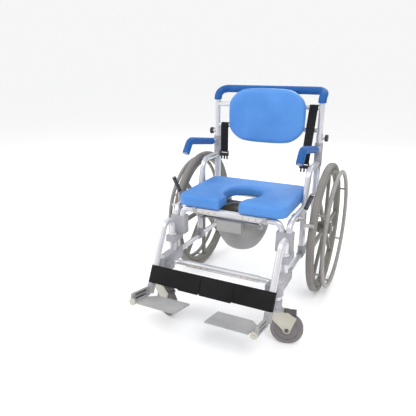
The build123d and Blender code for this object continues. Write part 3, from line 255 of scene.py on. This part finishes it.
def skin(rows, count, start=0):
    """The faces between rows of points, each row a closed ring."""
    return [(start + row * count + step, start + row * count + (step + 1) % count,
             start + (row + 1) * count + (step + 1) % count, start + (row + 1) * count + step)
            for row in range(rows - 1) for step in range(count)]


def capped(rows, count, start=0):
    """As skin, with a flat face over each end."""
    last = start + (rows - 1) * count
    return skin(rows, count, start) + [tuple(range(start, start + count)), tuple(range(last, last + count))]


def basis(axis):
    """Two directions square to an axis."""
    along = Vector(axis).normalized()
    guide = Vector((0, 0, 1)) if abs(along.z) < 0.9 else Vector((1, 0, 0))
    first = guide.cross(along).normalized()
    return along, first, along.cross(first)


def lathe(name, origin, axis, profile, look, body, turns=40):
    """A closed form turned about an axis, from (distance along, radius) points."""
    along, first, second = basis(axis)
    vertices = []
    for distance, radius in profile:
        centre = Vector(origin) + along * distance
        for step in range(turns):
            angle = 2 * pi * step / turns
            vertices.append(centre + first * radius * cos(angle) + second * radius * sin(angle))
    made = piece(name, vertices, capped(len(profile), turns), look, body)
    edge = made.modifiers.new("crisp", "EDGE_SPLIT")
    edge.split_angle = radians(40)
    return made


def strap(name, path, across, width, thick, look, body):
    """A flat band with rounded edges along a path; across is the direction of its width."""
    outline = [(-0.5, -0.3), (-0.47, -0.5), (0.47, -0.5), (0.5, -0.3), (0.5, 0.3), (0.47, 0.5),
               (-0.47, 0.5), (-0.5, 0.3)]
    points = [Vector(p) for p in path]
    wide = Vector(across).normalized()
    vertices = []
    for index, point in enumerate(points):
        before = points[max(index - 1, 0)]
        after = points[min(index + 1, len(points) - 1)]
        normal = (after - before).normalized().cross(wide).normalized()
        for u, v in outline:
            vertices.append(point + wide * u * width + normal * v * thick)
    return piece(name, vertices, capped(len(points), len(outline)), look, body, smooth=False)


def bar(name, low, high, look, body, edge=0.001):
    """A moulded block with rounded edges."""
    (x0, y0, z0), (x1, y1, z1) = low, high
    vertices = [(x, y, z) for x in (x0, x1) for y in (y0, y1) for z in (z0, z1)]
    faces = [(0, 1, 3, 2), (4, 6, 7, 5), (0, 4, 5, 1), (2, 3, 7, 6), (0, 2, 6, 4), (1, 5, 7, 3)]
    made = piece(name, vertices, faces, look, body)
    rounding = made.modifiers.new("rounding", "BEVEL")
    rounding.width = edge
    rounding.segments = 3
    return made


def line(start, end, steps):
    return [Vector(start).lerp(Vector(end), step / steps) for step in range(steps + 1)]


# ---------------------------------------------------------------- foam pads and grips
def foam(node, body, look, voxel, passes):
    """A soft copy of a CAD solid, with its edges eased by remeshing and smoothing."""
    thing = bpy.data.objects.new("foam_" + node, NODES[node].data.copy())
    bpy.context.scene.collection.objects.link(thing)
    remesh = thing.modifiers.new("voxels", "REMESH")
    remesh.mode = "VOXEL"
    remesh.voxel_size = voxel
    ease = thing.modifiers.new("ease", "SMOOTH")
    ease.factor = 0.5
    ease.iterations = passes
    bpy.context.view_layer.update()
    eased = bpy.data.meshes.new_from_object(thing.evaluated_get(bpy.context.evaluated_depsgraph_get()))
    thing.modifiers.clear()
    thing.data = eased
    for face in eased.polygons:
        face.use_smooth = True
    dress(thing, look)
    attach(thing, body)
    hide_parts(node)
    return thing


SEAT_HOLE = (0.080, 0.090)     # half width and half length of the seat's hole
SEAT_DISH = 0.007
SEAT_DISH_REACH = 0.055
BACK_CROWN = 0.007
BACK_SHIFT = 0.007
BACK_TAPER = 0.10              # how far the sides draw in towards the top and bottom
BACK_ARCH = 0.17               # how far the top and bottom edges fall away towards the sides


def seat():
    pad = foam("seat_pad", "seat", PAD, 0.005, 9)
    low, high = (Vector(corner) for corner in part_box("seat_pad"))
    hole = Vector((0.0, AXLE_Y - SEAT_HOLE_AHEAD, 0.0))
    for vertex in pad.data.vertices:
        place = vertex.co
        height = (place.z - low.z) / (high.z - low.z)
        away = Vector(((place.x - hole.x) / SEAT_HOLE[0], (place.y - hole.y) / SEAT_HOLE[1], 0)).length - 1
        distance = max(away, 0.0) * SEAT_HOLE[0]
        place.z -= SEAT_DISH * max(height, 0.0) * max(0.0, 1 - distance / SEAT_DISH_REACH) ** 2


def back():
    pad = foam("back_pad", "back_frame", PAD, 0.005, 8)
    low, high = (Vector(corner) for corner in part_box("back_pad"))
    middle = (low + high) / 2
    half = (high - low) / 2
    for vertex in pad.data.vertices:
        place = vertex.co
        across = max(0.0, 1 - ((place.x - middle.x) / half.x) ** 2)
        up = max(0.0, 1 - ((place.z - middle.z) / half.z) ** 2)
        if place.y < middle.y:
            place.y -= BACK_CROWN * across * up
        u = (place.x - middle.x) / half.x
        w = (place.z - middle.z) / half.z
        place.x = middle.x + BACK_SHIFT + (place.x - middle.x) * (1 - BACK_TAPER * abs(w) ** 3)
        place.z = middle.z + (place.z - middle.z) * (1 - BACK_ARCH * abs(u) ** 3)


def grips():
    foam("push_grip", "back_frame", GRIP, 0.003, 3)
    for label, _ in SIDES:
        foam(f"arm_grip_{label}", f"arm_{label}", GRIP, 0.003, 3)


# ---------------------------------------------------------------- belts and calf strap
BUCKLE_PRONG = 0.007
BELT_WIDTH = 0.038
BELT_THIN = 0.0018             # the loop and the doubled head
BELT_THICK = 0.0022
BELT_LAP = 0.0024              # from the tail's middle to the doubled head's
BELT_LOOP_R = (0.022 + 0.002) / 2 + 0.0006     # round a 22 mm crossbar


def belt(label):
    """The webbing of a lap belt half: a loop round its crossbar, a doubled head and the hanging tail."""
    low, high = (Vector(corner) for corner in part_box(f"belt_{label}"))
    foot_low, foot_high = (Vector(corner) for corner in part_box(f"buckle_{label}"))
    bar_low, bar_high = (Vector(corner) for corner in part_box("back_crossbars"))
    bar_y = (bar_low.y + bar_high.y) / 2
    bar_z = high.z - BELT_LOOP_R - 0.0008
    x = high.x - BELT_WIDTH / 2 if label == "left" else (low.x + high.x) / 2
    foot = Vector(((foot_low.x + foot_high.x) / 2, (foot_low.y + foot_high.y) / 2, foot_high.z - 0.004))
    loop = [Vector((x, bar_y - BELT_LOOP_R * cos(a), bar_z + BELT_LOOP_R * sin(a)))
            for a in (radians(10 * step) for step in range(-5, 24))]
    tail = line((x, bar_y - BELT_LOOP_R, bar_z), foot, 14)
    strap(f"webbing_loop_{label}", loop, (1, 0, 0), BELT_WIDTH, BELT_THIN, WEB, "back_frame")
    made = strap(f"webbing_tail_{label}", tail, (1, 0, 0), BELT_WIDTH, BELT_THICK, WEB, "back_frame")
    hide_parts(f"belt_{label}")
    head = line(Vector((x, bar_y - BELT_LOOP_R - BELT_LAP, bar_z - 0.004)),
                tail[5] + Vector((0, -BELT_LAP, 0)), 5)
    strap(f"webbing_head_{label}", head, (1, 0, 0), BELT_WIDTH, BELT_THIN, WEB, "back_frame")
    buckle(label, foot_low, foot_high)


def buckle(label, low, high):
    """Half of a side-release buckle: a slotted body, a web bar and two prongs or a socket."""
    centre = (low + high) / 2
    half_y = (high.y - low.y) / 2
    parts = [("body", low.x, high.x, -half_y, half_y, centre.z - 0.004, high.z - 0.010),
             ("top_bar", low.x, high.x, -half_y * 0.7, half_y * 0.7, high.z - 0.006, high.z),
             ("ear_a", low.x, low.x + 0.005, -half_y * 0.7, half_y * 0.7, high.z - 0.011, high.z - 0.005),
             ("ear_b", high.x - 0.005, high.x, -half_y * 0.7, half_y * 0.7, high.z - 0.011, high.z - 0.005)]
    for share in (0.0, 0.5, 1.0):
        start = low.x + 0.004 + share * (high.x - low.x - 0.008 - BUCKLE_PRONG)
        parts.append((f"prong_{int(share * 2)}", start, start + BUCKLE_PRONG, -half_y * 0.6, half_y * 0.6,
                      low.z, centre.z - 0.003))
    first = None
    for name, x0, x1, y0, y1, z0, z1 in parts:
        made = bar(f"buckle_{name}_{label}", (x0, centre.y + y0, z0), (x1, centre.y + y1, z1), BLACK,
                   "back_frame", edge=0.0012)
        first = first or made
    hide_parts(f"buckle_{label}")


CALF_RING_R = 0.0125 + 0.00135     # the hanger tube and half the strap
CALF_WIDTH = 0.072
CALF_THICK = 0.0026
PATCH_REACH = {"left": 0.135, "right": 0.09}
PATCH_THICK = 0.0022
PATCH_LIFT = 0.0028
PATCH_STEP = 0.004             # how far the overlap hangs below the band


def calf_strap(label, side):
    """Half of the calf strap: the band between tube and seam, its loop and the overlap by the seam."""
    low, high = (Vector(corner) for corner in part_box(f"calf_strap_{label}"))
    tube_x = side * FRAME_X
    seam = low.x if side > 0 else high.x
    slope = Vector((0, -sin(HANGER_TILT), -cos(HANGER_TILT)))
    out = Vector((0, -cos(HANGER_TILT), sin(HANGER_TILT)))
    centre = Vector((tube_x, (low.y + high.y) / 2, (low.z + high.z) / 2))
    front = centre + out * CALF_RING_R
    body = f"leg_rest_{label}"
    loop = [centre + out * CALF_RING_R * cos(a) + Vector((side, 0, 0)) * CALF_RING_R * sin(a)
            for a in (radians(12 * step) for step in range(0, 28))]
    band = line((seam, front.y, front.z), (tube_x, front.y, front.z), 24)
    made = strap(f"calf_band_{label}", band, slope, CALF_WIDTH, CALF_THICK, BAND, body)
    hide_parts(f"calf_strap_{label}")
    strap(f"calf_loop_{label}", loop, slope, CALF_WIDTH, CALF_THICK, BAND, body)
    patch_end = seam + side * PATCH_REACH[label]
    shift = out * PATCH_LIFT + slope * PATCH_STEP
    patch = [point + shift
             for point in line((seam + side * 0.002, front.y, front.z), (patch_end, front.y, front.z), 8)]
    strap(f"calf_overlap_{label}", patch, slope, CALF_WIDTH, PATCH_THICK, BAND, body)


# ---------------------------------------------------------------- moulded and metal details
def arm_plugs():
    """The pale end of each arm's tube, seen in the mouth of its grip."""
    for label, side in SIDES:
        mouth = Vector((side * FRAME_X, AXLE_Y - 0.298, 0.650))
        out = Vector((0, -0.040, -0.050)).normalized()
        lathe(f"arm_plug_{label}", mouth - out * 0.010, out,
              [(0.0, 0.0088), (0.0085, 0.0088), (0.0098, 0.0075), (0.0102, 0.0030), (0.0092, 0.0016)],
              FITTING, f"arm_{label}", turns=28)


def brake_grips():
    """The black sleeve of each brake lever."""
    for label, side in SIDES:
        pivot_y = JOINTS[f"brake_pull_{label}"]["pos_m"][1]
        knee = Vector((side * 0.286, pivot_y - 0.001, 0.474))
        tip = Vector((side * 0.310, AXLE_Y - 0.304, 0.541))
        reach = (tip - knee).length
        profile = [(0.0, 0.0078), (0.002, 0.0091)]
        for ring in range(7):
            start = 0.012 + ring * 0.007
            profile += [(start, 0.0091), (start + 0.0014, 0.0084), (start + 0.0028, 0.0091)]
        profile += [(reach - 0.003, 0.0091), (reach + 0.0005, 0.0072), (reach + 0.0012, 0.003)]
        lathe(f"brake_grip_{label}", knee, tip - knee, profile, BLACK, f"brake_{label}")


CASTOR_FACE = 0.0101           # from the middle of a castor to its hub's face
FORK_FACE = 0.0202             # from the middle of a castor to its fork's outer face


def castor_details():
    """Rings on each castor's faces, and the heads of its axle bolt."""
    for label, _ in SIDES:
        roll = JOINTS[f"castor_roll_{label}"]
        axis = Vector(roll["axis"])
        for face in (-1, 1):
            out = axis * face
            start = Vector(roll["pos_m"]) + out * CASTOR_FACE
            lathe(f"castor_rings_{label}_{face + 1}", start, out,
                  [(0.0, 0.044), (0.0012, 0.0435), (0.0012, 0.039), (0.0004, 0.038), (0.0004, 0.033),
                   (0.0014, 0.032), (0.0014, 0.027), (0.0004, 0.026), (0.0004, 0.0195)],
                  ROLLER, f"castor_roller_{label}", turns=56)
            bolt = Vector(roll["pos_m"]) + out * FORK_FACE
            lathe(f"castor_bolt_{label}_{face + 1}", bolt, out,
                  [(0.0, 0.0095), (0.0010, 0.0095), (0.0012, 0.0070), (0.0052, 0.0070), (0.0060, 0.0055)],
                  PEDAL, f"castor_{label}", turns=6)


STUDS = 84
STUD_TURNS = 8
STUD_PROFILE = ((0.0, 0.0044), (0.0014, 0.0036), (0.0020, 0.0016))     # height, radius
STUD_INSET = 0.009             # from the hand rim's outer face to the studs' line
STUD_SINK = 0.0008


def rim_studs():
    """The small grip bumps round the outside of each hand rim."""
    for label, side in SIDES:
        centre = Vector(JOINTS[f"wheel_spin_{label}"]["pos_m"])
        low, high = (Vector(corner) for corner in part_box(f"hand_rim_{label}"))
        outer = (high.z - low.z) / 2
        x = (high.x if side > 0 else low.x) - side * STUD_INSET
        vertices = []
        faces = []
        for index in range(STUDS):
            angle = 2 * pi * index / STUDS
            radial = Vector((0, cos(angle), sin(angle)))
            round_way = Vector((0, -sin(angle), cos(angle)))
            base = Vector((x, centre.y, centre.z)) + radial * (outer - STUD_SINK)
            start = len(vertices)
            for height, size in STUD_PROFILE:
                for step in range(STUD_TURNS):
                    turn = 2 * pi * step / STUD_TURNS
                    vertices.append(base + radial * height
                                    + Vector((side, 0, 0)) * size * cos(turn) + round_way * size * sin(turn))
            faces += capped(len(STUD_PROFILE), STUD_TURNS, start)
        piece(f"rim_studs_{label}", vertices, faces, RIM, f"rear_wheel_{label}")


RIBS = 27
RIB_START = 0.006
RIB_PITCH = 0.0041
RIB_HALF = 0.0008
RIB_SINK = 0.0003
RIB_RISE = 0.0011 * 0.6
RIB_INNER_X = 0.0605
PLATE_TOP = 0.0025             # half the footplate's thickness
PLATE_HINGE_X = 0.240
NOTCH_END = 0.025              # ribs before this stop short of the plate's cut-back corner
NOTCH_REACH = 0.0165
KNUCKLE_REACH = 0.013
TAPER_START = 0.084
TAPER = 0.85


def plate_ribs():
    """Fine ridges across the top of each footplate, ending short of its notch, knuckle and tapered corner."""
    for label, side in SIDES:
        origin = Vector(JOINTS[f"footplate_flip_{label}"]["pos_m"])
        vertices = []
        faces = []
        for index in range(RIBS):
            along = RIB_START + index * RIB_PITCH
            reach = NOTCH_REACH if along < NOTCH_END else KNUCKLE_REACH
            reach += max(0.0, along - TAPER_START) * TAPER
            start = len(vertices)
            for x in (side * RIB_INNER_X, side * (PLATE_HINGE_X - reach)):
                base = Vector((x, origin.y, origin.z)) + PLATE_DOWN * along + PLATE_UP * PLATE_TOP
                sunk = base - PLATE_UP * RIB_SINK
                vertices += [sunk - PLATE_DOWN * RIB_HALF, sunk + PLATE_DOWN * RIB_HALF,
                             base + PLATE_UP * RIB_RISE]
            faces += [(start, start + 1, start + 4, start + 3), (start + 1, start + 2, start + 5, start + 4),
                      (start + 2, start, start + 3, start + 5), (start, start + 2, start + 1),
                      (start + 3, start + 4, start + 5)]
        piece(f"plate_ribs_{label}", vertices, faces, PLATE, f"plate_{label}", smooth=False)


FOOT_ARM_X = 0.252
SLOTS = (("upper", 0.022), ("lower", 0.006))       # height of each slot over the footplate's hinge
SLOT_MIDDLE = 0.061            # along the arm, from its front
SLOT_STRAIGHT = 0.0345         # half length of a slot's straight part
SLOT_R = 0.0043
SLOT_HALF_THICK = 0.0026
CAP_X = 0.2455
CAP_START = 0.0029
CAP_FACE = 0.0058              # from the cap's start to its outer face


def foot_arm_details():
    """The dark inserts in each foot arm's slots, its cream end cap and the screw at the cap's middle."""
    for label, side in SIDES:
        origin = Vector(JOINTS[f"footplate_flip_{label}"]["pos_m"])
        body = f"leg_rest_{label}"
        for slot_name, height in SLOTS:
            centre = (Vector((side * FOOT_ARM_X, origin.y, origin.z)) + PLATE_DOWN * SLOT_MIDDLE
                      + PLATE_UP * height)
            outline = []
            for end in (-1, 1):
                for step in range(9):
                    angle = pi * step / 8 - end * pi / 2
                    outline.append(PLATE_DOWN * (end * SLOT_STRAIGHT + SLOT_R * cos(angle))
                                   + PLATE_UP * SLOT_R * sin(angle))
            sides = (-SLOT_HALF_THICK, SLOT_HALF_THICK)
            vertices = [centre + Vector((x, 0, 0)) + point for x in sides for point in outline]
            piece(f"foot_slot_{slot_name}_{label}", vertices, capped(2, len(outline)), PEDAL, body,
                  smooth=False)
        face = Vector((side * CAP_X, origin.y, origin.z)) + PLATE_DOWN * CAP_START
        lathe(f"foot_cap_{label}", face, -PLATE_DOWN,
              [(0.0, 0.0126), (0.0006, 0.0134), (0.0040, 0.0134), (0.0056, 0.0122), (CAP_FACE, 0.0050)],
              FORK, body, turns=40)
        lathe(f"foot_cap_screw_{label}", face - PLATE_DOWN * CAP_FACE, -PLATE_DOWN,
              [(0.0, 0.0042), (0.0014, 0.0040), (0.0018, 0.0024)], STEEL, body, turns=24)


def pan_painted_shade():
    """Painted shade in the pan's hollow: a thin dark sheet over the inside of the pan, from (height, radius)
    points.
    """
    centre_y = AXLE_Y - SEAT_HOLE_AHEAD
    profile = [(0.2535, 0.0), (0.2535, 0.055), (0.2610, 0.0655), (0.2800, 0.0850), (0.3150, 0.1005),
               (0.3600, 0.1095), (0.4070, 0.1126)]
    turns = 64
    vertices = []
    for height, radius in profile:
        for step in range(turns):
            angle = 2 * pi * step / turns
            vertices.append(Vector((radius * cos(angle), centre_y + radius * sin(angle), height)))
    made = piece("pan_painted_shade", vertices, skin(len(profile), turns), PAN_PAINTED_SHADE, "pan")
    wall = made.modifiers.new("wall", "SOLIDIFY")
    wall.thickness = 0.0004


KNOB_PROFILE = ((0.0005, 0.93), (0.002, 1.0), (0.0105, 1.0), (0.0125, 0.9), (0.0128, 0.4))   # along, share
KNOB_GRIP = 0.012              # length of the knob that the lobes cover
LOBES = 6


def knob_lobes():
    """The lobed grip of each height knob."""
    for label, side in SIDES:
        joint = JOINTS[f"knob_turn_{label}"]
        low, high = (Vector(corner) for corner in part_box(f"height_knob_{label}"))
        face_x = (high.x - KNOB_GRIP) if side > 0 else (low.x + KNOB_GRIP)
        centre = Vector((face_x, joint["pos_m"][1], joint["pos_m"][2]))
        turns = 72
        outline = [0.0152 + 0.0012 * cos(LOBES * 2 * pi * step / turns) for step in range(turns)]
        vertices = []
        for distance, share in KNOB_PROFILE:
            for step in range(turns):
                angle = 2 * pi * step / turns
                radius = outline[step] * share
                vertices.append(centre + Vector((side * distance, radius * cos(angle), radius * sin(angle))))
        piece(f"knob_lobes_{label}", vertices, capped(len(KNOB_PROFILE), turns), BLACK, f"knob_{label}")


def hoop_couplings():
    """The grey coupling where each hoop's leg meets the lower rail."""
    low, high = (Vector(corner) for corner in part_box("lower_rails"))
    rail_z = (low.z + high.z) / 2
    for label, side in SIDES:
        foot = Vector((side * FRAME_X, AXLE_Y - 0.166, rail_z))
        lathe(f"hoop_coupling_{label}", foot - Vector((0, 0.026, 0)), (0, 1, 0),
              [(0.0, 0.0114), (0.0008, 0.0145), (0.0028, 0.0156), (0.0492, 0.0156), (0.0512, 0.0145),
               (0.0520, 0.0114)], FITTING, "frame", turns=36)
        lathe(f"hoop_socket_{label}", foot + Vector((0, 0, 0.006)), (0, 0, 1),
              [(0.0, 0.0155), (0.030, 0.0155), (0.0325, 0.0146), (0.0330, 0.0130)],
              FITTING, "frame", turns=36)


def stage():
    bpy.ops.mesh.primitive_circle_add(vertices=96, radius=FLOOR_RADIUS, fill_type="NGON",
                                      location=(0, 0, -FLOOR_DROP))
    floor = bpy.context.object
    floor.name = "studio_floor"
    glow = FLOOR.node_tree.nodes["Principled BSDF"]
    glow.inputs["Emission Color"].default_value = (1.0, 1.0, 1.0, 1.0)
    glow.inputs["Emission Strength"].default_value = FLOOR_GLOW
    dress(floor, FLOOR)


camera()
world_light()
for light in LIGHTS:
    soft_light(*light)
stage()
dress_frame()
seat()
back()
grips()
for label, side in SIDES:
    belt(label)
    calf_strap(label, side)
arm_plugs()
brake_grips()
castor_details()
rim_studs()
plate_ribs()
foot_arm_details()
pan_painted_shade()
knob_lobes()
hoop_couplings()

bpy.context.view_layer.update()
